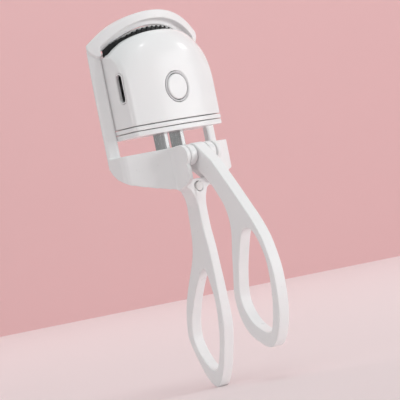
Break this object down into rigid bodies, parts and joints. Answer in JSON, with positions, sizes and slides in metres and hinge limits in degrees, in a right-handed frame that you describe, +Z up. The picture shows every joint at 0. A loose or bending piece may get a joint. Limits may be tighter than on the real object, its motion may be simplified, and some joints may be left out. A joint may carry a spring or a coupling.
{
  "type": "eyelash curler",
  "caption": "Heated eyelash curler: a sliding heated head closes on a fixed curved upper jaw when the finger loops are squeezed together like scissors.",
  "frame": {"origin": "under the middle of the bounding box, level with the tip of the rear handle, its lowest point", "axes": "+Z up along the rear handle towards the upper jaw, +Y to the back, +X to the right seen from the button side"},
  "size_m": [0.0454, 0.041, 0.115],
  "materials": {
    "white_abs": "satin moulded",
    "white_gloss": "glossy moulded",
    "grey_trim": "satin grey",
    "black_nylon": "fine matt",
    "polished_steel": "polished",
    "heater_coating": "dark coated",
    "white_silicone": "soft matt",
    "green_board": "solder mask",
    "battery_foil": "foil pouch",
    "lead_wire": "insulated wire",
    "led_lens": "clear resin",
    "ptc_ceramic": "ceramic"
  },
  "bodies": {
    "frame_body": {"frame": "white_abs", "jaw_pad": "white_silicone", "hinge_pin": "polished_steel", "handle_bumper": "white_silicone"},
    "button_body": {"power_button": "white_gloss"},
    "plunger_body": {"switch_plunger": "black_nylon"},
    "front_handle_body": {"front_handle": "white_abs", "drive_pin": "polished_steel"},
    "head_body": {"front_shell": "white_gloss", "rear_shell": "white_gloss", "shell_screw_1": "polished_steel", "shell_screw_2": "polished_steel", "shell_screw_3": "polished_steel", "shell_screw_4": "polished_steel", "trim_ring": "white_gloss", "base_cap": "white_gloss", "port_bezel": "white_gloss", "button_ring": "grey_trim", "heater_holder": "black_nylon", "lash_comb": "black_nylon", "heater_plate": "heater_coating", "heating_element_left": "ptc_ceramic", "heating_element_right": "ptc_ceramic", "heat_shield": "white_silicone", "thermistor": "ptc_ceramic", "battery_cell": "battery_foil", "circuit_board": "green_board", "charger_chip": "black_nylon", "controller_chip": "black_nylon", "usb_c_socket": "polished_steel", "usb_tongue": "black_nylon", "tact_switch": "polished_steel", "status_led_left": "led_lens", "status_led_right": "led_lens", "battery_lead_left": "lead_wire", "battery_lead_right": "lead_wire", "heater_lead_left": "lead_wire", "heater_lead_right": "lead_wire", "lift_yoke": "polished_steel", "yoke_screw_left": "polished_steel", "yoke_screw_right": "polished_steel"}
  },
  "joints": [
    {"name": "front_handle_hinge", "type": "hinge", "parent": "frame_body", "child": "front_handle_body", "pos_m": [0, 0.00311, 0.0698], "axis": [1, 0, 0], "range_deg": [-23.5, 7.5]},
    {"name": "head_slide", "type": "slide", "parent": "frame_body", "child": "head_body", "axis": [0, 0, 1], "range_m": [-0.0044, 0.0014]},
    {"name": "power_button_press", "type": "slide", "parent": "head_body", "child": "button_body", "axis": [0, 1, 0], "range_m": [0, 0.0004], "stiffness_N_per_m": 1500, "springref_m": -0.0003},
    {"name": "switch_plunger_press", "type": "slide", "parent": "head_body", "child": "plunger_body", "axis": [0, 1, 0], "range_m": [0, 0.0004]}
  ],
  "couplings": [
    {"joint": "head_slide", "follows": "front_handle_hinge", "m_per_rad": 0.0106},
    {"joint": "switch_plunger_press", "follows": "power_button_press", "ratio": 1}
  ]
}
